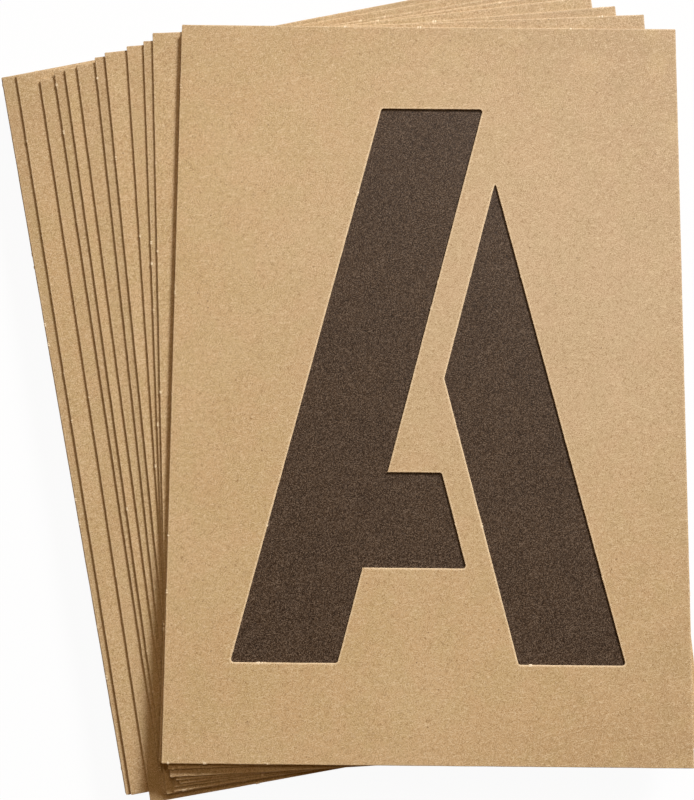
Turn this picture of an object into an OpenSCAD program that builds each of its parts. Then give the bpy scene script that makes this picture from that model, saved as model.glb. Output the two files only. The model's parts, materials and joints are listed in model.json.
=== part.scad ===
// Pack of lettering stencils: one die-cut oiled kraft board card for each capital letter,
// fanned out as the pack lies on a table, with a dark backing sheet under the top card.
// The origin is the pinch point, where a thumb holds the pack, on the table under it.
// +Y runs up the top card, +Z up through the pack.

/* [Card] */
// Width of a card
board_w = 185; // [170:1:210]
// Height of a card
board_h = 270; // [250:1:300]
// Thickness of the board
board_t = 0.5; // [0.3:0.05:1]
// Air left between one card and the next
air_gap = 0.3; // [0.1:0.05:0.4]
// Radius of a card's die-cut corners
board_r = 0.4; // [0.2:0.1:4]
// Bent and worn-off corner of the top card, measured along each edge
worn_corner = 2.4; // [1:0.1:6]

/* [Letter] */
// Height of the letters
cap_h = 203; // [160:1:210]
// Margin of card under the foot of a letter
foot_margin = 34.9; // [20:0.1:45]
// Width of an upright or sloping stroke, measured level
stroke_w = 37.6; // [26:0.1:39]
// Height of a level stroke
bar_h = 34; // [24:0.5:36]
// Width of the ties that hold a letter's inside in place
tie_w = 9.7; // [6:0.1:12]
// Radius of the die's small corners
corner_r = 1; // [0.5:0.1:3]
// Outer radius of the round letters
round_r = 52; // [38:1:54]
// Width of A, N, V, X and Y
broad_w = 138.8; // [124:0.2:146]
// Width of most letters
plain_w = 120; // [110:1:134]
// Width of E, F, J and L
slim_w = 106; // [94:1:116]

/* [Letter A] */
// Run of A's legs: how far they lean in for each unit of height
leg_lean = 0.256; // [0.22:0.002:0.27]
// Width of the tie between A's two legs, measured level
spine_w = 11.6; // [8:0.1:14]
// Radius of the sharp tip of A's right leg
tip_r = 0.3; // [0.1:0.1:1]
// Height of the underside of A's crossbar above the foot
crossbar_y = 33.4; // [24:0.1:45]

/* [Letters M, N and W] */
// Width of M and W
double_w = 152; // [142:1:154]
// Width of the strokes of M, N and W, measured level
fine_w = 28; // [20:0.5:29]
// Height at which the inner strokes of M and W meet
vee_y = 52; // [30:1:80]

/* [Backing sheet] */
// Width of the dark sheet under the top card
sheet_w = 175; // [155:1:183]
// Height of the dark sheet
sheet_h = 258; // [240:1:268]
// Thickness of the dark sheet
sheet_t = 0.2; // [0.1:0.05:0.5]
// Air left between the sheet and the top card
sheet_air = 0.1; // [0.05:0.05:0.3]

/* [Pack] */
// Distance of the pinch point from a card's left edge, with the pack squared up
pinch_x = 67.5; // [40:0.5:120]
// Distance of the pinch point from a card's bottom edge, with the pack squared up
pinch_y = 17; // [8:1:30]
// How far the pack is fanned out, from squared up to as it lies on the table
fan_open = 1; // [0:0.05:1]
// How much further up each card of the lower half lies than the one over it
lean_step = 0.1; // [0:0.05:0.3]
// How far the cards of the lower half stray from lying squarely on each other
stray = 0.4; // [0:0.1:1]

/* [Hidden] */

LETTERS = 26;
// How each fanned card lies, from the top one down: its turn in degrees, then how far it has
// slipped across and up under the pinch, in mm.
FAN = [
    [0, 0, 0], [-0.2, -0.9, 0.3], [2.8, 1.2, 1], [3.7, 1.5, -0.7], [5.5, 3, 0.1],
    [7.5, 3.3, 1], [8, 1.5, 0.5], [9.4, 0.5, 0.5], [9.8, -2.5, 0.5], [10.4, -4, 1.5],
    [10.6, -9, -0.5], [11.1, -15.5, 4], [11.9, -17.5, 5.5]
];
LOWEST = len(FAN) - 1;
// Turn from the way one card strays to the way the next does, so that no two stray alike.
STRAY_TURN = 137.5;

pitch = board_t + air_gap;
sheet_z = (LETTERS - 1) * pitch;
top_z = sheet_z + sheet_t + sheet_air;
mid_y = cap_h / 2;
inner_r = max(round_r - stroke_w, corner_r);
half_plain = plain_w / 2;
half_slim = slim_w / 2;
half_broad = broad_w / 2;
half_double = double_w / 2;
half_tie = tie_w / 2;
half_stroke = stroke_w / 2;
// Left edge of the bowls of B, D, P and R, and the two edges of a level stroke at mid height.
bowl_x = -half_plain + stroke_w + tie_w;
bowl_low = mid_y - bar_h / 2;
bowl_high = mid_y + bar_h / 2;
// How far the ends of C, G, J and S reach from the head or foot of the letter.
end_reach = bar_h + stroke_w;

KRAFT = [0.78, 0.64, 0.46];
DARK = [0.33, 0.28, 0.23];
// Steps along a round corner: fine for the bowls, coarse for the die's small corners.
BOWL_STEP = 6;
SMALL_STEP = 30;
SMALL_R = 5;
// Share of an edge that the fillets at its two ends may use up together.
EDGE_SHARE = 0.98;
// How far above and below the middle K's arms spring from, as a share of a level stroke.
ARM_SPREAD = 0.6;
// Share of its height over which the sloping stroke of N runs beside an upright.
SLOPE_SHARE = 1 / 3;

// Outline work. A point is [x, y] for a small die corner, or [x, y, radius].

function radius(p) = len(p) > 2 ? p[2] : corner_r;
function flat(p) = [p[0], p[1]];
function unit(v) = v / norm(v);
function turned(v, angle) =
    [v[0] * cos(angle) - v[1] * sin(angle), v[0] * sin(angle) + v[1] * cos(angle)];

// Most of the edge from v to q that a fillet at v may take, shared out by the two radii.
function edge_limit(v, q) =
    EDGE_SHARE * norm(flat(q) - flat(v)) * radius(v) / (radius(v) + radius(q));

// The fillet at corner v, between the edges from p and to q, as points along its arc.
function fillet(p, v, q) =
    let (
        back = unit(flat(p) - flat(v)),
        ahead = unit(flat(q) - flat(v)),
        opening = acos(back * ahead),
        reach = min(radius(v) / tan(opening / 2), edge_limit(v, p), edge_limit(v, q)),
        centre = flat(v) + unit(back + ahead) * reach / cos(opening / 2),
        first = flat(v) + back * reach - centre,
        side = cross(-back, ahead) > 0 ? 1 : -1,
        sweep = 180 - opening,
        steps = ceil(sweep / (radius(v) > SMALL_R ? BOWL_STEP : SMALL_STEP))
    )
    [for (i = [0:steps]) centre + turned(first, side * sweep * i / steps)];

// An outline with every corner filleted.
function soften(points) =
    let (count = len(points))
    [for (i = [0:count - 1])
        each fillet(points[(i + count - 1) % count], points[i], points[(i + 1) % count])];

// Where the line through a and b meets the line through c and d.
function meet(a, b, c, d) =
    a + (b - a) * cross(c - a, d - c) / cross(b - a, d - c);

function box(x0, y0, x1, y1) = [[x0, y0], [x1, y0], [x1, y1], [x0, y1]];

// A sloping stroke whose left edge runs from x0 at height y0 to x1 at height y1.
function slant(x0, y0, x1, y1, w = stroke_w) = [[x0, y0], [x0 + w, y0], [x1 + w, y1], [x1, y1]];

// A bowl that opens to the left: a level stroke at its foot and head, round to an upright.
function hoop(x0, x1, y0, y1) = [
    [x0, y0], [x1, y0, round_r], [x1, y1, round_r], [x0, y1],
    [x0, y1 - bar_h], [x1 - stroke_w, y1 - bar_h, inner_r],
    [x1 - stroke_w, y0 + bar_h, inner_r], [x0, y0 + bar_h]
];

// A level stroke at height y1 that turns down on the right, as far as height y0.
function hook(x0, x1, y0, y1) = [
    [x0, y1 - bar_h], [x1 - stroke_w, y1 - bar_h, inner_r], [x1 - stroke_w, y0],
    [x1, y0], [x1, y1, round_r], [x0, y1]
];

module opening(points) {
    polygon(soften(points));
}

// Its children with a copy on the left.
module both_sides() {
    children();
    mirror([1, 0]) children();
}

// Its children turned over about half the letter's height.
module upside_down() {
    translate([0, cap_h]) mirror([0, 1]) children();
}

// The letters. Each is the openings of one card: x is 0 at its middle and y is 0 at its foot.

// The two sloping strokes of A. The right one stops short of the left one by the spine.
module leg_pair() {
    apex_y = (2 * half_broad - stroke_w - spine_w) / (2 * leg_lean);
    notch_y = apex_y - stroke_w / (2 * leg_lean);
    opening([
        [half_broad - stroke_w, 0],
        [half_broad, 0],
        [half_broad - leg_lean * apex_y, apex_y, tip_r],
        [half_broad - stroke_w - leg_lean * notch_y, notch_y]
    ]);
    opening(slant(-half_broad, 0, -half_broad + leg_lean * cap_h, cap_h));
}

module letter_a() {
    crossbar_top = crossbar_y + bar_h;
    left = -half_broad + half_stroke;
    right = half_broad - stroke_w - tie_w;
    leg_pair();
    // The crossbar runs into the left leg and stops a tie short of the right one.
    opening([
        [left + leg_lean * crossbar_y, crossbar_y],
        [right - leg_lean * crossbar_y, crossbar_y],
        [right - leg_lean * crossbar_top, crossbar_top],
        [left + leg_lean * crossbar_top, crossbar_top]
    ]);
}

// An upright on the left, with the inside of the letter tied beside it.
module left_stem() {
    opening(box(-half_plain, 0, -half_plain + stroke_w, cap_h));
}

module letter_b() {
    left_stem();
    opening(hoop(bowl_x, half_plain, 0, bowl_high));
    opening(hoop(bowl_x, half_plain, bowl_low, cap_h));
}

module round_left() {
    mirror([1, 0]) opening(hoop(half_tie, half_plain, 0, cap_h));
}

module letter_c() {
    round_left();
    opening(hook(half_tie, half_plain, cap_h - end_reach, cap_h));
    upside_down() opening(hook(half_tie, half_plain, cap_h - end_reach, cap_h));
}

module letter_d() {
    left_stem();
    opening(hoop(bowl_x, half_plain, 0, cap_h));
}

module letter_e() {
    // The stem with its head and foot, in one opening.
    opening([
        [-half_slim, 0], [half_slim, 0], [half_slim, bar_h],
        [-half_slim + stroke_w, bar_h], [-half_slim + stroke_w, cap_h - bar_h],
        [half_slim, cap_h - bar_h], [half_slim, cap_h], [-half_slim, cap_h]
    ]);
    middle_bar();
}

// The middle bar of E and F, tied beside the stem and shorter than the head.
module middle_bar() {
    opening(box(-half_slim + stroke_w + tie_w, bowl_low, half_slim - tie_w, bowl_high));
}

module letter_f() {
    opening([
        [-half_slim, 0], [-half_slim + stroke_w, 0],
        [-half_slim + stroke_w, cap_h - bar_h], [half_slim, cap_h - bar_h],
        [half_slim, cap_h], [-half_slim, cap_h]
    ]);
    middle_bar();
}

module letter_g() {
    round_left();
    opening(hook(half_tie, half_plain, cap_h - end_reach, cap_h));
    // The lower end turns up to the middle and carries the bar inwards.
    opening([
        [half_tie, 0], [half_plain, 0, round_r], [half_plain, bowl_high],
        [half_tie, bowl_high], [half_tie, bowl_low], [half_plain - stroke_w, bowl_low],
        [half_plain - stroke_w, bar_h, inner_r], [half_tie, bar_h]
    ]);
}

module letter_h() {
    // The crossbar runs into the left upright and stops a tie short of the right one.
    opening([
        [-half_plain, 0], [-half_plain + stroke_w, 0], [-half_plain + stroke_w, bowl_low],
        [half_plain - stroke_w - tie_w, bowl_low], [half_plain - stroke_w - tie_w, bowl_high],
        [-half_plain + stroke_w, bowl_high], [-half_plain + stroke_w, cap_h],
        [-half_plain, cap_h]
    ]);
    opening(box(half_plain - stroke_w, 0, half_plain, cap_h));
}

module letter_i() {
    opening(box(-half_stroke, 0, half_stroke, cap_h));
}

module letter_j() {
    upside_down() opening(hook(half_tie, half_slim, 0, cap_h));
    upside_down() mirror([1, 0])
        opening(hook(half_tie, half_slim, cap_h - end_reach, cap_h));
}

module letter_k() {
    // Two arms that spring from a short upright edge beside the stem.
    spring = bar_h * ARM_SPREAD;
    arm = stroke_w + tie_w;
    root_low = [bowl_x, mid_y - spring];
    root_high = [bowl_x, mid_y + spring];
    head = [half_plain - arm, cap_h];
    top_right = [half_plain, cap_h];
    fork = meet([0, mid_y], [1, mid_y], top_right, top_right + root_high - head);
    left_stem();
    opening([
        root_low, [half_plain - arm, 0], [half_plain, 0], fork, top_right, head, root_high
    ]);
}

module letter_l() {
    opening(box(-half_slim, 0, -half_slim + stroke_w, cap_h));
    opening(box(-half_slim + stroke_w + tie_w, 0, half_slim, bar_h));
}

module letter_m() {
    // Two uprights, with a V between them, tied to both.
    vee_x = half_double - fine_w - tie_w;
    both_sides() opening(box(half_double - fine_w, 0, half_double, cap_h));
    opening([
        [-fine_w / 2, vee_y], [fine_w / 2, vee_y], [vee_x, cap_h], [vee_x - fine_w, cap_h],
        meet([0, 0], [0, 1], [vee_x - fine_w, cap_h], [-fine_w / 2, vee_y]),
        [-vee_x + fine_w, cap_h], [-vee_x, cap_h]
    ]);
}

module letter_n() {
    // Two fine uprights, with a sloping stroke between them, tied to both.
    inside = half_broad - fine_w - tie_w;
    drop = cap_h * SLOPE_SHARE;
    both_sides() opening(box(half_broad - fine_w, 0, half_broad, cap_h));
    opening([[inside, 0], [inside, drop], [-inside, cap_h], [-inside, cap_h - drop]]);
}

module letter_o() {
    both_sides() opening(hoop(half_tie, half_plain, 0, cap_h));
}

module letter_p() {
    left_stem();
    opening(hoop(bowl_x, half_plain, bowl_low, cap_h));
}

module letter_q() {
    // The tail starts inside the bowl and comes out under its right side.
    tail_w = bar_h - corner_r;
    letter_o();
    opening(slant(half_plain - tail_w, -tie_w, half_tie + corner_r, bar_h + tail_w, tail_w));
}

module letter_r() {
    left_stem();
    opening(hoop(bowl_x, half_plain, bowl_low, cap_h));
    opening(slant(half_plain - stroke_w, 0, bowl_x + tie_w, bowl_high));
}

module letter_s() {
    // The long opening, from the tie at the head round to the tie at the foot.
    opening([
        [-half_tie, cap_h], [-half_plain, cap_h, round_r], [-half_plain, bowl_low, round_r],
        [half_plain - stroke_w, bowl_low, inner_r], [half_plain - stroke_w, bar_h, inner_r],
        [half_tie, bar_h], [half_tie, 0], [half_plain, 0, round_r],
        [half_plain, bowl_high, round_r], [-half_plain + stroke_w, bowl_high, inner_r],
        [-half_plain + stroke_w, cap_h - bar_h, inner_r], [-half_tie, cap_h - bar_h]
    ]);
    opening(hook(half_tie, half_plain, cap_h - end_reach, cap_h));
    upside_down() mirror([1, 0])
        opening(hook(half_tie, half_plain, cap_h - end_reach, cap_h));
}

module letter_t() {
    opening(box(-half_plain, cap_h - bar_h, half_plain, cap_h));
    opening(box(-half_stroke, 0, half_stroke, cap_h - bar_h - tie_w));
}

module letter_u() {
    both_sides() upside_down() opening(hook(half_tie, half_plain, 0, cap_h));
}

module letter_v() {
    upside_down() leg_pair();
}

module letter_w() {
    // Two narrow Vs side by side, tied where their inner strokes meet.
    foot_x = (half_double - fine_w + half_tie) / 2;
    peak_y = cap_h - vee_y / 2;
    both_sides() opening([
        [foot_x, 0], [foot_x + fine_w, 0], [half_double, cap_h],
        [half_double - fine_w, cap_h],
        meet([half_double - fine_w, cap_h], [foot_x, 0],
             [half_tie + fine_w, peak_y], [foot_x + fine_w, 0]),
        [half_tie + fine_w, peak_y], [half_tie, peak_y]
    ]);
}

// The lower left and upper right half strokes of X, a tie away from the stroke they cross.
module crossing_half() {
    lean = (broad_w - stroke_w) / cap_h;
    edge_low = [half_broad - stroke_w - tie_w, 0];
    edge_high = edge_low + [-lean, 1] * cap_h;
    left_low = [-half_broad, 0];
    left_high = left_low + [lean, 1] * cap_h;
    opening([
        left_low, left_low + [stroke_w, 0],
        meet(edge_low, edge_high, left_low + [stroke_w, 0], left_high + [stroke_w, 0]),
        meet(edge_low, edge_high, left_low, left_high)
    ]);
}

module letter_x() {
    opening(slant(half_broad - stroke_w, 0, -half_broad, cap_h));
    crossing_half();
    upside_down() mirror([1, 0]) crossing_half();
}

module letter_y() {
    // The stem and the left arm in one opening, and the right arm a tie away from them.
    fork_left = [-half_stroke, mid_y];
    fork_right = [half_stroke, mid_y];
    head_left = [-half_broad, cap_h];
    head_right = [half_broad, cap_h];
    across = [stroke_w, 0];
    tie = [tie_w + corner_r, 0];
    opening([
        [-half_stroke, 0], [half_stroke, 0], fork_right, head_left + across, head_left, fork_left
    ]);
    opening([
        meet(fork_right + tie, head_left + across + tie, fork_right, head_right),
        head_right, head_right - across,
        meet(fork_right + tie, head_left + across + tie, fork_left, head_right - across)
    ]);
}

module letter_z() {
    // The head and the sloping stroke meet, and the foot is tied below them.
    low = [-half_plain, bar_h + tie_w];
    high = [half_plain - stroke_w, cap_h - bar_h];
    opening([
        low, low + [stroke_w, 0], high + [stroke_w, 0], [half_plain, cap_h],
        [-half_plain, cap_h], [-half_plain, cap_h - bar_h], high
    ]);
    opening(box(-half_plain, 0, half_plain, bar_h));
}

// A blank card, with the pinch point at its origin.
module blank(clip = 0) {
    left = -pinch_x;
    low = -pinch_y;
    corners = clip > 0
        ? [[left, low + board_h - clip, board_r], [left + clip, low + board_h, board_r]]
        : [[left, low + board_h, board_r]];
    polygon(soften(concat(
        [[left, low, board_r], [left + board_w, low, board_r], [left + board_w, low + board_h, board_r]],
        [for (i = [len(corners) - 1:-1:0]) corners[i]]
    )));
}

// A card with its letter, given as a child, cut through it.
module stencil(clip = 0) {
    color(KRAFT) linear_extrude(board_t) difference() {
        blank(clip);
        translate([board_w / 2 - pinch_x, foot_margin - pinch_y]) children();
    }
}

// Its children lying as the card does that is this many places below the top one.
module placed(place) {
    fanned = FAN[min(place, LOWEST)];
    below = max(place - LOWEST, 0);
    tucked = below > 0
        ? [0, lean_step * below] + stray * turned([1, 0], STRAY_TURN * below)
        : [0, 0];
    height = place == 0 ? top_z : (LETTERS - 1 - place) * pitch;
    translate([0, 0, height])
        rotate(fan_open * fanned[0])
        translate(fan_open * ([fanned[1], fanned[2]] + tucked))
        children();
}

module backing_sheet() {
    // Lies squarely under the top card, hidden but for what shows through its letter.
    color(DARK)
        translate([(board_w - sheet_w) / 2 - pinch_x, (board_h - sheet_h) / 2 - pinch_y, sheet_z])
        cube([sheet_w, sheet_h, sheet_t]);
}

module card_a() { placed(0) stencil(worn_corner) letter_a(); }
module card_b() { placed(1) stencil() letter_b(); }
module card_c() { placed(2) stencil() letter_c(); }
module card_d() { placed(3) stencil() letter_d(); }
module card_e() { placed(4) stencil() letter_e(); }
module card_f() { placed(5) stencil() letter_f(); }
module card_g() { placed(6) stencil() letter_g(); }
module card_h() { placed(7) stencil() letter_h(); }
module card_i() { placed(8) stencil() letter_i(); }
module card_j() { placed(9) stencil() letter_j(); }
module card_k() { placed(10) stencil() letter_k(); }
module card_l() { placed(11) stencil() letter_l(); }
module card_m() { placed(12) stencil() letter_m(); }
module card_n() { placed(13) stencil() letter_n(); }
module card_o() { placed(14) stencil() letter_o(); }
module card_p() { placed(15) stencil() letter_p(); }
module card_q() { placed(16) stencil() letter_q(); }
module card_r() { placed(17) stencil() letter_r(); }
module card_s() { placed(18) stencil() letter_s(); }
module card_t() { placed(19) stencil() letter_t(); }
module card_u() { placed(20) stencil() letter_u(); }
module card_v() { placed(21) stencil() letter_v(); }
module card_w() { placed(22) stencil() letter_w(); }
module card_x() { placed(23) stencil() letter_x(); }
module card_y() { placed(24) stencil() letter_y(); }
module card_z() { placed(25) stencil() letter_z(); }

backing_sheet();
card_a();
card_b();
card_c();
card_d();
card_e();
card_f();
card_g();
card_h();
card_i();
card_j();
card_k();
card_l();
card_m();
card_n();
card_o();
card_p();
card_q();
card_r();
card_s();
card_t();
card_u();
card_v();
card_w();
card_x();
card_y();
card_z();
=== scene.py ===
"""The looks of a fanned pack of kraft board stencils: die-cut edges, pulp fibres and torn nicks."""
import json
import math

import bpy
import numpy as np
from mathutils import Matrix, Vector, geometry


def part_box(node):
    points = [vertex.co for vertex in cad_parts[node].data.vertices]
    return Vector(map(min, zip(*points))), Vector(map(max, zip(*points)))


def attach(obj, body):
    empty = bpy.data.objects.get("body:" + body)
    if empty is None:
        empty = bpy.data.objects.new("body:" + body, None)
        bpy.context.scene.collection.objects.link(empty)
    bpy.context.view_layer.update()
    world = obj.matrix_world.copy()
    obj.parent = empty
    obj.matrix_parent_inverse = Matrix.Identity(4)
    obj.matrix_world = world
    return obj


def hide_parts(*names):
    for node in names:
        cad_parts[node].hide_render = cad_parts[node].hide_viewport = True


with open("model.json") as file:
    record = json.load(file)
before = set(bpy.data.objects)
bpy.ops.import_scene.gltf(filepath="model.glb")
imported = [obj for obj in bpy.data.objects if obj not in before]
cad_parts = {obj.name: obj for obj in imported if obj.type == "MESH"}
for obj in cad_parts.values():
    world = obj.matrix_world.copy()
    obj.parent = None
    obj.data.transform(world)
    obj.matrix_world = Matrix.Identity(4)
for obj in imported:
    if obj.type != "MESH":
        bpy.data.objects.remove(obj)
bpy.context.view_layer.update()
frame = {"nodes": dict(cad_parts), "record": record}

MM = 0.001
CARD_NODES = sorted(name for name in frame["nodes"] if name.startswith("card_"))
TOP_CARD = "card_a"
SHEET_NODE = "backing_sheet"
BODY_OF = {node: body for body, nodes in frame["record"]["behaviour"]["bodies"].items() for node in nodes}

# Sizes of the cut edges

# A node's face is what lies this near its top.
FACE_SLACK = 0.01 * MM
# Corners are one if they agree to this many decimals of a metre, and so are places along a loop.
CORNER_DECIMALS = 7
ALONG_DECIMALS = 8
# Points stand at most this far apart along a cut, and closer on the top card, which is seen from near by.
STEP = 2.5 * MM
TOP_STEP = 1.0 * MM
# No two points are closer than this.
MIN_STEP = 0.02 * MM
# Points are added no nearer than this to a loop's own corners, where their insets would cross.
CORNER_CLEAR = 0.15 * MM
# Torn nicks in a card's cuts. Extra points stand this far to either side of each.
NICKS_PER_METRE = 14
NICK_REACH = 1.1 * MM
NICK_POINTS = 23
# A nick is a few tufts of pulp, which stand out at most this far and are about this wide.
TUFTS = 4
TUFT_OUT = 0.36 * MM
TUFT_WIDTH = 0.22 * MM
# How torn a nick is, and each tuft's place in its reach, width and height, are drawn from these ranges.
TORN_SHARES = (0.3, 1.0)
PLACE_SHARES = (-0.6, 0.6)
WIDTH_SHARES = (0.6, 1.2)
HEIGHT_SHARES = (0.5, 1.0)
# Only the part of the edge section this near the cut is pushed out by a tuft, or made paler by it.
PUSHED_INSET = 0.1 * MM
FRAYED_INSET = 0.5 * MM
# The cut wanders about this far from its line, in waves that go round a loop these numbers of times.
WANDER = 0.02 * MM
WANDER_TURNS = range(9, 70, 6)
# The guillotined outline of a card is less pale than the die-cut letter.
OUTLINE_PALENESS = 0.3
# A side that turns by more than this is at a corner, and by more than the second one at a sharp corner.
CORNER_TURN = math.radians(8)
SHARP_TURN = math.radians(40)
# The inset that fits at a corner itself, rounded or sharp, and its growth along the sides from there.
ROUND_ROOM = 0.2 * MM
SHARP_ROOM = 0.02 * MM
ROOM_GROWTH = 0.5
# What the face's Delaunay mesh covers, and how close two points may be before they are one, in metres.
WHOLE_HULL = 0
CLOSE = 1e-8

# Shapes


def cut_loops(node):
    """The outlines of a card's face, as arrays of x, y points in metres with the board on their left.

    The face's triangles are read from the frame. A side that only one of them has lies on the cut, and
    following each such side to the next one gives the loops.
    """
    mesh = frame["nodes"][node].data
    corners = np.empty(len(mesh.vertices) * 3)
    mesh.vertices.foreach_get("co", corners)
    corners = corners.reshape(-1, 3)
    mesh.calc_loop_triangles()
    triangles = np.empty(len(mesh.loop_triangles) * 3, int)
    mesh.loop_triangles.foreach_get("vertices", triangles)
    points, merged = np.unique(np.round(corners, CORNER_DECIMALS), axis=0, return_inverse=True)
    triangles = merged.reshape(-1)[triangles].reshape(-1, 3)
    on_top = (points[triangles, 2] > points[:, 2].max() - FACE_SLACK).all(axis=1)
    sides = triangles[on_top][:, [0, 1, 1, 2, 2, 0]].reshape(-1, 2)
    one_way, back = sides @ [len(points), 1], sides @ [1, len(points)]
    cut = sides[~np.isin(one_way, back)]
    follow = np.arange(len(points))
    follow[cut[:, 0]] = cut[:, 1]
    loops = []
    left = np.sort(cut[:, 0])
    while len(left):
        chain = in_turn(follow, left[0])
        loops.append(points[chain, :2])
        left = np.setdiff1d(left, chain)
    return loops


def in_turn(follow, start):
    """The corners of one loop in order, when follow holds the next corner after each.

    A walk of n corners, moved on by n, is the next n corners, so the walk doubles until it is back at its
    start.
    """
    walk = np.array([start])
    while not (walk[1:] == start).any():
        walk = np.concatenate([walk, follow[walk]])
        follow = follow[follow]
    return walk[:1 + np.argmax(walk[1:] == start)]


def resampled(loop, step, nick_count, rng):
    """A loop with points at most one step apart, and close together round its nicks.

    Returns the points, how far along the loop each is, and the places of the nicks along it.
    """
    ends = np.vstack([loop, loop[:1]])
    runs = np.linalg.norm(np.diff(ends, axis=0), axis=1)
    marks = np.concatenate([[0], np.cumsum(runs)])
    length = marks[-1]
    fill = [np.arange(1, math.ceil(run / step)) * run / math.ceil(run / step) + mark
            for run, mark in zip(runs, marks[:-1])]
    nicks = np.sort(rng.uniform(0, length, nick_count))
    close = (nicks[:, None] + np.linspace(-NICK_REACH, NICK_REACH, NICK_POINTS)).ravel() % length
    added = np.concatenate([*fill, close])
    ahead = np.searchsorted(marks, added)
    clear = np.minimum(marks[ahead] - added, added - marks[ahead - 1]) > CORNER_CLEAR
    along = np.unique(np.round(np.concatenate([marks[:-1], added[clear]]), ALONG_DECIMALS))
    along = along[np.append(np.diff(along) > MIN_STEP, True)]
    return np.stack([np.interp(along, marks, ends[:, k]) for k in (0, 1)], axis=1), along, nicks


def way_round(along, place, perimeter):
    """How far each point along a loop is from a place on it, forward or back, by the shorter way round."""
    return (along - place + perimeter / 2) % perimeter - perimeter / 2


def inward(points):
    """The direction into the board at each point, longer at a corner so that an inset keeps its width."""
    ahead = np.roll(points, -1, axis=0) - points
    ahead /= np.linalg.norm(ahead, axis=1, keepdims=True)
    left = np.stack([-ahead[:, 1], ahead[:, 0]], axis=1)
    both = left + np.roll(left, 1, axis=0)
    return 2 * both / (both * both).sum(axis=1, keepdims=True)


def corner_room(loop, along, perimeter):
    """The widest inset that each point along a loop can take before it meets the inset of the next side.

    It is the room at a corner, plus a share of the way to it, for whichever corner leaves the least.
    """
    ahead = np.roll(loop, -1, axis=0) - loop
    behind = np.roll(ahead, 1, axis=0)
    turn = np.arctan2(np.cross(behind, ahead), (behind * ahead).sum(axis=1))
    at = np.concatenate([[0], np.cumsum(np.linalg.norm(ahead, axis=1))])[:-1]
    slack = np.where(turn > SHARP_TURN, SHARP_ROOM, ROUND_ROOM)
    off = np.abs(way_round(along[:, None], at, perimeter))
    room = np.where(turn > CORNER_TURN, slack + ROOM_GROWTH * off, np.inf)
    return room.min(axis=1)


def wander(phase, rng):
    """How far the cut strays into the board: a sum of sines, each of whole waves round the loop."""
    waves = sum(np.sin(turns * phase + rng.uniform(0, 2 * np.pi)) for turns in WANDER_TURNS)
    return waves * (WANDER / math.sqrt(len(WANDER_TURNS)))


def tufts(along, nicks, perimeter, rng):
    """The share of a tuft's reach that the pulp stands out by: the highest of bell curves at each nick."""
    share = np.zeros(len(along))
    for nick in nicks:
        torn = rng.uniform(*TORN_SHARES)
        for _ in range(TUFTS):
            off = way_round(along, nick + rng.uniform(*PLACE_SHARES) * NICK_REACH, perimeter)
            width = TUFT_WIDTH * rng.uniform(*WIDTH_SHARES)
            share = np.maximum(share, torn * rng.uniform(*HEIGHT_SHARES) * np.exp(-(off / width) ** 2))
    return share


def edge_section(thickness):
    """The section of a die-cut edge, from the top face round to the underside.

    Columns: inset from the cut, height over the underside, paleness of the arris, share of cut wall.
    The die presses the upper arris round and leaves the lower one nearly sharp.
    """
    return np.array([
        (0.80 * MM, thickness, 0.0, 0.0),
        (0.48 * MM, thickness, 0.9, 0.0),
        (0.15 * MM, thickness - 0.012 * thickness, 1.0, 0.0),
        (0.06 * MM, thickness - 0.08 * thickness, 1.0, 0.1),
        (0.012 * MM, thickness - 0.22 * thickness, 0.8, 0.7),
        (0.0, 0.55 * thickness, 0.5, 1.0),
        (0.0, 0.16 * thickness, 0.5, 1.0),
        (0.03 * MM, 0.03 * thickness, 0.8, 0.7),
        (0.12 * MM, 0.0, 0.8, 0.0),
        (0.34 * MM, 0.0, 0.3, 0.0),
        (0.80 * MM, 0.0, 0.0, 0.0),
    ])


def edge_rings(loop, section, base, step, nicks_per_metre, rng):
    """The edge section carried along one loop, as a ring of corners and one of tints for each row.

    A corner lies at the loop's point, moved into the board by the row's inset and the wander of the cut,
    and out again by the tufts, at the row's height over the base. Near a loop's corners the insets are
    squeezed into the room there. A tint is the paleness of the arris, the share of cut wall and the fray.
    """
    perimeter = np.linalg.norm(loop - np.roll(loop, 1, axis=0), axis=1).sum()
    points, along, nicks = resampled(loop, step, round(perimeter * nicks_per_metre), rng)
    strayed = wander(2 * np.pi * along / perimeter, rng)
    tuft = tufts(along, nicks, perimeter, rng)
    inset, height, pale, wall = section.T[:, :, None]
    out = tuft * TUFT_OUT * np.minimum(pale + wall, 1) * (inset < PUSHED_INSET)
    squeeze = np.minimum(1, corner_room(loop, along, perimeter) / inset.max())
    reach = inset * squeeze + strayed - out
    corners = np.empty((len(section), len(points), 3))
    corners[..., :2] = points + reach[..., None] * inward(points)
    corners[..., 2] = base + height
    is_outline = np.cross(loop, np.roll(loop, -1, axis=0)).sum() > 0
    dry = pale * (OUTLINE_PALENESS if is_outline else 1.0)
    fray = tuft * (inset < FRAYED_INSET)
    return corners, np.stack(np.broadcast_arrays(dry, wall, fray), axis=-1)


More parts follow.
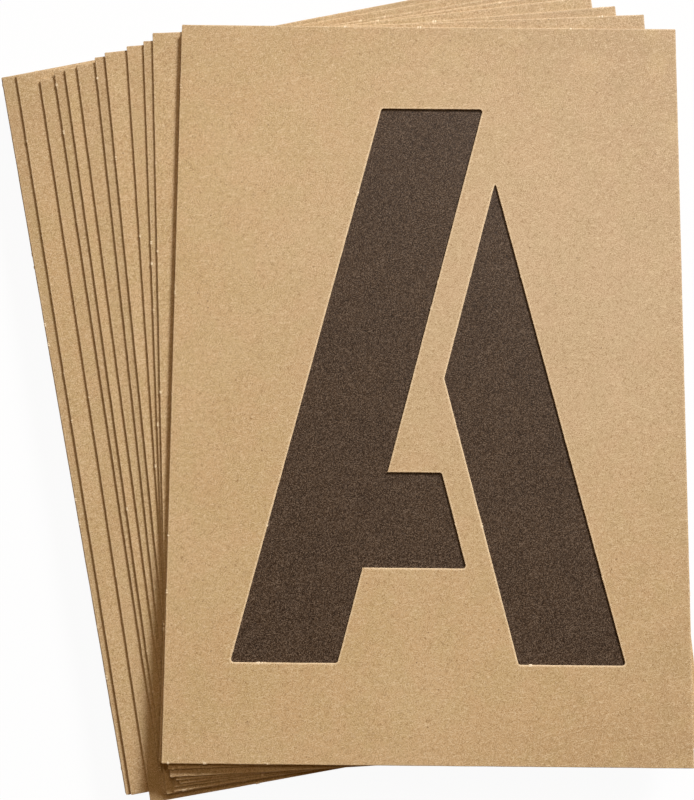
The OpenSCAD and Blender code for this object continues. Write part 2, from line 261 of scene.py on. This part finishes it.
def board(name, node, step, nicks_per_metre, seed):
    """A card or sheet made from a node's own outlines.

    The edge section is carried along every loop, and one flat fill between the innermost rings closes the
    top and, turned over, the underside.
    """
    rng = np.random.default_rng(seed)
    low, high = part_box(node)
    section = edge_section(high.z - low.z)
    corners, tints, quads, upper, under = [], [], [], [], []
    start = 0
    for loop in cut_loops(node):
        rings, ring_tints = edge_rings(loop, section, low.z, step, nicks_per_metre, rng)
        index = start + np.arange(rings[..., 0].size).reshape(rings.shape[:2])
        after = np.roll(index, -1, axis=1)
        quads.append(np.stack([index[1:], after[1:], after[:-1], index[:-1]], axis=-1).reshape(-1, 4))
        corners.append(rings.reshape(-1, 3))
        tints.append(ring_tints.reshape(-1, 3))
        upper.append(index[0])
        under.append(index[-1])
        start += index.size
    corners = np.vstack(corners)
    counts = [len(ring) for ring in upper]
    upper, under = np.concatenate(upper), np.concatenate(under)
    flat = between(corners[upper, :2], counts)
    triangles = np.vstack([upper[flat], under[flat][:, ::-1]])
    return new_piece(name, corners, np.vstack(quads), triangles, np.vstack(tints))


def between(points, counts):
    """Triangles that fill the face between closed rings, which follow one another with these counts.

    They are a Delaunay mesh that keeps every ring's sides. A triangle stays if the rings wind once round
    its middle: each side that passes it on its right counts one up where it rises and one down where it
    falls. The points are rounded as the mesh will round them, so that both agree on every side.
    """
    points = points.astype(np.float32).astype(float)
    index = np.split(np.arange(len(points)), np.cumsum(counts)[:-1])
    sides = np.concatenate([np.stack([ring, np.roll(ring, -1)], axis=1) for ring in index])
    _, _, faces, sources, _, _ = geometry.delaunay_2d_cdt(points, sides, [], WHOLE_HULL, CLOSE)
    triangles = np.concatenate(sources)[np.array(faces)]
    x, y = points[triangles].mean(axis=1).T[..., None]
    (ax, ay), (bx, by) = points[sides].transpose(1, 2, 0)
    left_of = (bx - ax) * (y - ay) - (x - ax) * (by - ay)
    rises = (ay <= y) & (by > y) & (left_of > 0)
    falls = (by <= y) & (ay > y) & (left_of < 0)
    return triangles[rises.sum(axis=1) > falls.sum(axis=1)]


def new_piece(name, corners, quads, triangles, tints):
    """A mesh from arrays: corners, four-sided and three-sided faces, and the tints as attribute cut."""
    mesh = bpy.data.meshes.new(name)
    mesh.vertices.add(len(corners))
    mesh.vertices.foreach_set("co", corners.astype(np.float32).ravel())
    order = np.concatenate([quads.ravel(), triangles.ravel()]).astype(np.int32)
    starts = np.concatenate([
        np.arange(len(quads)) * 4, len(quads) * 4 + np.arange(len(triangles)) * 3]).astype(np.int32)
    mesh.loops.add(len(order))
    mesh.loops.foreach_set("vertex_index", order)
    mesh.polygons.add(len(starts))
    mesh.polygons.foreach_set("loop_start", starts)
    mesh.polygons.foreach_set("use_smooth", np.ones(len(starts), bool))
    tint = mesh.attributes.new("cut", "FLOAT_COLOR", "POINT")
    tint.data.foreach_set("color", np.hstack([tints, np.ones((len(tints), 1))]).astype(np.float32).ravel())
    mesh.update(calc_edges=True)
    mesh.validate()
    piece = bpy.data.objects.new(name, mesh)
    bpy.context.scene.collection.objects.link(piece)
    return piece


# Tools for finishes

# How much the finer lumps of a noise count, and the noise's middle value in all three directions.
CLOUD_ROUGHNESS = 0.55
CLOUD_MIDDLE = (0.5, 0.5, 0.5)
# A speck is solid out to this share of its radius.
SPECK_CORE = 0.4
# In the last of the cells that hold a speck, from this much of their share on, it fades.
SPECK_FADE = 0.9


class Wire:
    """A number on its way through a material, so that sums and products of wires add Math nodes."""

    def __init__(self, finish, socket):
        self.finish = finish
        self.socket = socket

    def __add__(self, other):
        return self.finish.math("ADD", self, other)

    def __radd__(self, other):
        return self.finish.math("ADD", other, self)

    def __sub__(self, other):
        return self.finish.math("SUBTRACT", self, other)

    def __rsub__(self, other):
        return self.finish.math("SUBTRACT", other, self)

    def __mul__(self, other):
        return self.finish.math("MULTIPLY", self, other)

    def __rmul__(self, other):
        return self.finish.math("MULTIPLY", other, self)


class Finish:
    """The nodes of a material or a world under way."""

    def __init__(self, owner):
        owner.use_nodes = True
        self.owner = owner
        self.nodes = owner.node_tree.nodes
        self.links = owner.node_tree.links
        self.nodes.clear()

    def node(self, kind, settings=None, inputs=None, out=0):
        """Adds a node, sets it up, feeds its inputs with wires or values, and returns one output."""
        made = self.nodes.new(kind)
        for name, value in (settings or {}).items():
            setattr(made, name, value)
        for name, value in (inputs or {}).items():
            if isinstance(value, Wire):
                self.links.new(value.socket, made.inputs[name])
            else:
                made.inputs[name].default_value = value
        return Wire(self, made.outputs[out]) if made.outputs else None

    def parts(self, attribute):
        """The three numbers that a mesh attribute holds at the point being shaded."""
        colour = self.node("ShaderNodeAttribute", {"attribute_name": attribute}, out="Color")
        return [self.node("ShaderNodeSeparateColor", {}, {"Color": colour}, out=k) for k in range(3)]

    def math(self, operation, a, b):
        """One sum, difference or product of two numbers."""
        return self.node("ShaderNodeMath", {"operation": operation}, {0: a, 1: b})

    def blend(self, share, a, b):
        """Colour a, going over to colour b as the share goes from 0 to 1."""
        return self.node("ShaderNodeMix", {"data_type": "RGBA"}, {0: share, 6: a, 7: b}, out=2)

    def ramp(self, value, low, high, to_low=0.0, to_high=1.0):
        """The value, taken from the range low to high over to another range, and held inside it."""
        return self.node(
            "ShaderNodeMapRange", {"interpolation_type": "SMOOTHSTEP"},
            {"Value": value, "From Min": low, "From Max": high, "To Min": to_low, "To Max": to_high})

    def distance(self, where, point):
        """How far a place is from a point, in metres."""
        return self.node(
            "ShaderNodeVectorMath", {"operation": "DISTANCE"}, {0: where, 1: point}, out="Value")

    def moved(self, where, by):
        """A place moved by a vector."""
        return self.node("ShaderNodeVectorMath", {"operation": "ADD"}, {0: where, 1: by}, out="Vector")

    def clouds(self, size, detail, where, out="Fac"):
        """Soft noise whose lumps are about this size, in metres."""
        return self.node(
            "ShaderNodeTexNoise", {},
            {"Vector": where, "Scale": 1 / size, "Detail": detail, "Roughness": CLOUD_ROUGHNESS}, out=out)

    def bent(self, where, size, amount):
        """A place pushed about by soft noise, so that what is straight on it curls."""
        push = self.node(
            "ShaderNodeVectorMath", {"operation": "SUBTRACT"},
            {0: self.clouds(size, 1.0, where, out="Color"), 1: CLOUD_MIDDLE}, out="Vector")
        return self.node(
            "ShaderNodeVectorMath", {"operation": "MULTIPLY_ADD"},
            {0: push, 1: (amount, amount, amount), 2: where}, out="Vector")

    def fibres(self, where, angle, length, width, low, high):
        """Short fibres that lie at about one angle: noise drawn out along it, of which the peaks stay.

        Each angle has its own part of the noise.
        """
        drawn = self.node(
            "ShaderNodeMapping", {"vector_type": "TEXTURE"},
            {"Vector": where, "Rotation": (0, 0, math.radians(angle)), "Scale": (length, width, length),
             "Location": (angle * MM, -angle * MM, angle * MM)}, out="Vector")
        return self.ramp(self.clouds(1.0, 1.0, drawn), low, high)

    def crossed(self, where, one_way, other_way):
        """Fibres that lie two ways across each other."""
        return self.fibres(where, *one_way) + self.fibres(where, *other_way)

    def specks(self, where, spacing, radius, share):
        """Small round specks, in this share of the cells of a scattered grid."""
        cells = {"Vector": where, "Scale": 1 / spacing}
        near = self.node("ShaderNodeTexVoronoi", {}, cells, out="Distance")
        pick = self.node("ShaderNodeTexVoronoi", {}, cells, out="Color")
        red = self.node("ShaderNodeSeparateColor", {}, {"Color": pick}, out="Red")
        chosen = self.ramp(red, share, share * SPECK_FADE)
        return self.ramp(near, radius / spacing, radius * SPECK_CORE / spacing) * chosen

    def shine(self, colour, roughness, height, lift, specular):
        """Closes the material with its colour, roughness and relief, the relief's height in metres."""
        bump = self.node(
            "ShaderNodeBump", {}, {"Height": height, "Distance": lift, "Strength": 1.0}, out="Normal")
        surface = self.node(
            "ShaderNodeBsdfPrincipled", {},
            {"Base Color": colour, "Roughness": roughness, "Normal": bump, "Specular IOR Level": specular})
        self.node("ShaderNodeOutputMaterial", {}, {"Surface": surface})
        return self.owner


def rgb(screen, tone=1.0):
    """A colour given as 0 to 255 screen values, in the linear values that materials take."""
    parts = np.array(screen) * tone / 255
    return (*np.where(parts <= 0.04045, parts / 12.92, ((parts + 0.055) / 1.055) ** 2.4), 1.0)


# The finish of the board

TAN = (195, 169, 121)
WARM_TAN = (199, 168, 123)
PALE_PULP = (223, 201, 163)
DARK_PULP = (146, 114, 71)
BARK = rgb((104, 72, 44))
PAINTED_FALLOFF_SHADE = rgb((152, 122, 88))
PAINTED_SHEEN = rgb((201, 182, 157))
DRY_ARRIS = rgb((238, 217, 180))
CUT_WALL = rgb((176, 136, 92))
TORN_PULP = rgb((244, 228, 196))
# Lumps of warmer and of paler board, of the pulp and of its grain.
WARM_LUMPS = 11 * MM
PALE_LUMPS = 38 * MM
PULP_LUMPS = 0.9 * MM
GRAIN = 0.37 * MM
# The fibres curl by this much, once in about this length.
BOARD_CURL = 1.2 * MM
BOARD_CURL_LENGTH = 1.8 * MM
# Fibres at two angles each: angle in degrees, length, width, and the noise where one begins and is full.
LIGHT_FIBRES = [(12, 1.9 * MM, 0.26 * MM, 0.57, 0.68), (104, 1.6 * MM, 0.26 * MM, 0.59, 0.7)]
DARK_FIBRES = [(58, 1.8 * MM, 0.26 * MM, 0.58, 0.7), (149, 1.5 * MM, 0.26 * MM, 0.59, 0.7)]
# Specks of bark in the pulp: how far apart, how large, and in what share of the places.
BARK_SPACING = 4.2 * MM
BARK_RADIUS = 0.36 * MM
BARK_SHARE = 0.3
# Lumps of the cut wall per metre: ten times as many through the thickness, where the plies lie.
PLIES = (900, 900, 9000)
BOARD_RELIEF = 0.035 * MM
BOARD_SPECULAR = 0.42
# Painted shade: the board is darker, in soft blotches, towards the outer corners, by distance from a point
# inside the pack.
FALLOFF_FROM = (-20 * MM, 105 * MM, 10 * MM)
FALLOFF_NEAR = 100 * MM
FALLOFF_FAR = 210 * MM
FALLOFF_LUMPS = 14 * MM
# Painted sheen: the board is paler and cooler in a patch where daylight falls, by distance from a point at
# the right.
SHEEN_FROM = (66 * MM, 150 * MM, 10 * MM)
SHEEN_FAR = 150 * MM


def kraft(name, tone, seed):
    """Oiled kraft board: mottled pulp with pale and dark fibres, a few specks and pale, dry cut edges."""
    made = Finish(bpy.data.materials.new(name))
    rng = np.random.default_rng(seed)
    here = made.node("ShaderNodeTexCoord", out="Object")
    spot = made.moved(here, tuple(rng.uniform(-1, 1, 3)))
    curled = made.bent(spot, BOARD_CURL_LENGTH, BOARD_CURL)
    pale = rgb(PALE_PULP, tone)
    dark = rgb(DARK_PULP, tone)
    warmth = made.ramp(made.clouds(WARM_LUMPS, 2.0, spot), 0.35, 0.65)
    colour = made.blend(warmth, rgb(TAN, tone), rgb(WARM_TAN, tone))
    colour = made.blend(made.ramp(made.clouds(PALE_LUMPS, 1.0, spot), 0.4, 0.7, 0, 0.12), colour, pale)
    # Painted shade, darker in blotches towards the outer corners.
    painted_falloff = (made.ramp(made.distance(here, FALLOFF_FROM), FALLOFF_NEAR, FALLOFF_FAR)
               * made.ramp(made.clouds(FALLOFF_LUMPS, 2.0, spot), 0.2, 0.6))
    colour = made.blend(painted_falloff * 0.5, colour, PAINTED_FALLOFF_SHADE)
    # Painted sheen, a paler and cooler patch at the right.
    colour = made.blend(made.ramp(made.distance(here, SHEEN_FROM), SHEEN_FAR, 0, 0, 0.4), colour, PAINTED_SHEEN)
    mottle = made.clouds(PULP_LUMPS, 3.0, spot)
    colour = made.blend(made.ramp(mottle, 0.5, 0.75, 0, 0.16), colour, pale)
    colour = made.blend(made.ramp(mottle, 0.5, 0.25, 0, 0.15), colour, dark)
    grain = made.clouds(GRAIN, 1.0, spot)
    colour = made.blend(made.ramp(grain, 0.5, 0.78, 0, 1.0), colour, pale)
    colour = made.blend(made.ramp(grain, 0.5, 0.22, 0, 0.85), colour, dark)
    light_fibres = made.crossed(curled, *LIGHT_FIBRES)
    dark_fibres = made.crossed(curled, *DARK_FIBRES)
    colour = made.blend(light_fibres * 0.6, colour, pale)
    colour = made.blend(dark_fibres * 0.48, colour, dark)
    colour = made.blend(made.specks(spot, BARK_SPACING, BARK_RADIUS, BARK_SHARE) * 0.7, colour, BARK)
    arris, wall, fray = made.parts("cut")
    broken = made.ramp(made.clouds(PULP_LUMPS, 3.0, spot), 0.3, 0.6, 0.35, 1.0)
    colour = made.blend(arris * broken * 0.64, colour, DRY_ARRIS)
    plies = made.node("ShaderNodeMapping", {}, {"Vector": spot, "Scale": PLIES}, out="Vector")
    layered = made.ramp(made.clouds(1.0, 2.0, plies), 0.35, 0.65, 0.2, 0.8)
    colour = made.blend(wall * layered, colour, CUT_WALL)
    colour = made.blend(made.ramp(fray, 0.15, 0.7), colour, TORN_PULP)
    relief = mottle * 0.7 + light_fibres * 0.25 - dark_fibres * 0.15 + grain * 0.4
    roughness = made.ramp(mottle, 0.3, 0.7, 0.42, 0.54)
    return made.shine(colour, roughness, relief, BOARD_RELIEF, BOARD_SPECULAR)


# The finish of the dark sheet

DARK_BROWN = rgb((56, 39, 24))
LESS_DARK_BROWN = rgb((63, 45, 28))
PALE_SPECKLE = rgb((126, 109, 91))
BLACK_SPECKLE = rgb((17, 5, 0))
PALE_FLECK = rgb((120, 104, 89))
DARK_FLECK = rgb((28, 14, 3))
SHEET_RIM = rgb((110, 92, 74))
SHEET_LUMPS = 18 * MM
SPECKLE = 0.38 * MM
SHEET_CURL = 0.9 * MM
SHEET_CURL_LENGTH = 1.4 * MM
# Flecks at two angles each, given as the board's fibres are.
LIGHT_FLECKS = [(35, 1.1 * MM, 0.28 * MM, 0.55, 0.72), (120, 0.9 * MM, 0.28 * MM, 0.56, 0.74)]
DARK_FLECKS = [(78, 1.1 * MM, 0.28 * MM, 0.55, 0.72), (162, 0.9 * MM, 0.28 * MM, 0.56, 0.74)]
SHEET_RELIEF = 0.04 * MM
SHEET_SPECULAR = 0.24


def dark_paper(name):
    """Dark uncoated paper with fine pale speckle from its fibres."""
    made = Finish(bpy.data.materials.new(name))
    here = made.node("ShaderNodeTexCoord", out="Object")
    curled = made.bent(here, SHEET_CURL_LENGTH, SHEET_CURL)
    base = made.blend(
        made.ramp(made.clouds(SHEET_LUMPS, 2.0, here), 0.35, 0.65), DARK_BROWN, LESS_DARK_BROWN)
    speckle = made.clouds(SPECKLE, 1.0, here)
    light_flecks = made.crossed(curled, *LIGHT_FLECKS)
    dark_flecks = made.crossed(curled, *DARK_FLECKS)
    colour = made.blend(made.ramp(speckle, 0.48, 0.76, 0, 1.0), base, PALE_SPECKLE)
    colour = made.blend(made.ramp(speckle, 0.52, 0.26, 0, 1.0), colour, BLACK_SPECKLE)
    colour = made.blend(light_flecks * 0.62, colour, PALE_FLECK)
    colour = made.blend(dark_flecks * 0.75, colour, DARK_FLECK)
    arris, _, _ = made.parts("cut")
    colour = made.blend(arris * 0.3, colour, SHEET_RIM)
    relief = speckle + light_flecks * 0.4 - dark_flecks * 0.3
    roughness = made.ramp(speckle, 0.3, 0.7, 0.46, 0.56)
    return made.shine(colour, roughness, relief, SHEET_RELIEF, SHEET_SPECULAR)


# The pack

# Brightness of each card's board, from the top one down: no two cards are dyed quite alike.
TONES = [1.0, 0.985, 1.0, 0.97, 0.99, 1.0, 0.965, 0.98, 1.0, 0.97, 0.985, 0.995, 0.965]


def dress_cards():
    """Puts a kraft board card in place of each card node."""
    for number, node in enumerate(CARD_NODES):
        letter = node[-1]
        step = TOP_STEP if node == TOP_CARD else STEP
        piece = board(f"stencil_{letter}", node, step, NICKS_PER_METRE, seed=number)
        piece.data.materials.append(kraft(f"kraft_{letter}", TONES[number % len(TONES)], seed=number))
        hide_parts(node)
        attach(piece, BODY_OF[node])


def dress_sheet():
    """Puts a sheet of dark paper, which has no nicks, in place of the sheet node."""
    piece = board("dark_sheet", SHEET_NODE, STEP, nicks_per_metre=0, seed=len(CARD_NODES))
    piece.data.materials.append(dark_paper("dark_paper"))
    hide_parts(SHEET_NODE)
    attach(piece, BODY_OF[SHEET_NODE])


dress_cards()
dress_sheet()

# The table, the light and the camera

WHITE = (1, 1, 1, 1)
FLOOR_GREY = (0.86, 0.86, 0.86, 1)
# The floor reaches this far to each side, in metres.
FLOOR_REACH = 6.0
# Share of the floor's look that is a plain white glow: the rest takes the pack's shadow.
FLOOR_GLOW = 0.95
# The lamps face the middle of the top card.
LAMPS_AIM = Vector((0, 0.11, 0.02))
DAYLIGHT = (1.0, 1.0, 1.03)
BULB_LIGHT = (1.0, 0.78, 0.55)
# What the room's walls throw back on the pack.
ROOM_LIGHT = (1.0, 0.5, 0.12, 1)
ROOM_STRENGTH = 0.12
# The camera looks down on the top card from this far, past a point on its face.
CAMERA_ELEVATION = 81.2
CAMERA_AZIMUTH = -0.53
CAMERA_DISTANCE = 540.3 * MM
AIM_X = -4.25 * MM
AIM_Y = 111.3 * MM
# The lens: its focal length in pixels of a picture this high, on a sensor this high in millimetres.
FOCAL_PIXELS = 1500
PICTURE_HEIGHT = 800
SENSOR = 36.0
# Nothing nearer or farther than this is seen, in metres.
CLIP_START = 0.01
CLIP_END = 50


def lay_floor():
    """A flat floor that the camera sees as nearly white, with the pack's faint shadow on it."""
    mesh = bpy.data.meshes.new("floor")
    corners = [(x * FLOOR_REACH, y * FLOOR_REACH, 0) for x, y in [(-1, -1), (1, -1), (1, 1), (-1, 1)]]
    mesh.from_pydata(corners, [], [(0, 1, 2, 3)])
    floor = bpy.data.objects.new("floor", mesh)
    bpy.context.scene.collection.objects.link(floor)
    made = Finish(bpy.data.materials.new("pale_floor"))
    matte = made.node("ShaderNodeBsdfDiffuse", {}, {"Color": FLOOR_GREY})
    glow = made.node("ShaderNodeEmission", {}, {"Color": WHITE, "Strength": 1.0})
    seen = made.node("ShaderNodeLightPath", out="Is Camera Ray")
    both = made.node("ShaderNodeMixShader", {}, {0: seen * FLOOR_GLOW, 1: matte, 2: glow})
    made.node("ShaderNodeOutputMaterial", {}, {"Surface": both})
    mesh.materials.append(made.owner)


def area_light(name, azimuth, elevation, distance, size, energy, colour):
    """A square lamp in this direction from where it aims, its azimuth counted from +Y towards +X."""
    lamp = bpy.data.lights.new(name, "AREA")
    lamp.shape = "SQUARE"
    lamp.size = size
    lamp.energy = energy
    lamp.color = colour
    turn, rise = math.radians(azimuth), math.radians(elevation)
    way = Vector((math.sin(turn) * math.cos(rise), math.cos(turn) * math.cos(rise), math.sin(rise)))
    holder = bpy.data.objects.new(name, lamp)
    holder.location = LAMPS_AIM + way * distance
    holder.rotation_euler = way.to_track_quat("Z", "Y").to_euler()
    bpy.context.scene.collection.objects.link(holder)


def light_scene():
    """Daylight from a far window, a weak warm lamp above, and a world that only the camera sees white."""
    area_light("window", azimuth=32, elevation=29, distance=5.0, size=1.1, energy=385, colour=DAYLIGHT)
    area_light("ceiling", azimuth=16, elevation=67, distance=2.6, size=0.8, energy=13, colour=BULB_LIGHT)
    room = Finish(bpy.data.worlds.new("studio"))
    fill = room.node("ShaderNodeBackground", {}, {"Color": ROOM_LIGHT, "Strength": ROOM_STRENGTH})
    backdrop = room.node("ShaderNodeBackground", {}, {"Color": WHITE, "Strength": 1.0})
    seen = room.node("ShaderNodeLightPath", out="Is Camera Ray")
    both = room.node("ShaderNodeMixShader", {}, {0: seen, 1: fill, 2: backdrop})
    room.node("ShaderNodeOutputWorld", {}, {"Surface": both})
    bpy.context.scene.world = room.owner


def place_camera():
    """The camera, back from its aim by its distance, along the direction of its azimuth and elevation."""
    lens = bpy.data.cameras.new("camera")
    lens.sensor_fit = "VERTICAL"
    lens.sensor_height = SENSOR
    lens.lens = SENSOR * FOCAL_PIXELS / PICTURE_HEIGHT
    lens.clip_start = CLIP_START
    lens.clip_end = CLIP_END
    camera = bpy.data.objects.new("camera", lens)
    bpy.context.scene.collection.objects.link(camera)
    turn, rise = math.radians(CAMERA_AZIMUTH), math.radians(CAMERA_ELEVATION)
    back = Vector((-math.sin(turn) * math.cos(rise), -math.cos(turn) * math.cos(rise), math.sin(rise)))
    aim = Vector((AIM_X, AIM_Y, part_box(TOP_CARD)[1].z))
    camera.location = aim + back * CAMERA_DISTANCE
    camera.rotation_euler = back.to_track_quat("Z", "Y").to_euler()
    bpy.context.scene.camera = camera


lay_floor()
light_scene()
place_camera()
bpy.context.scene.view_settings.view_transform = "Standard"
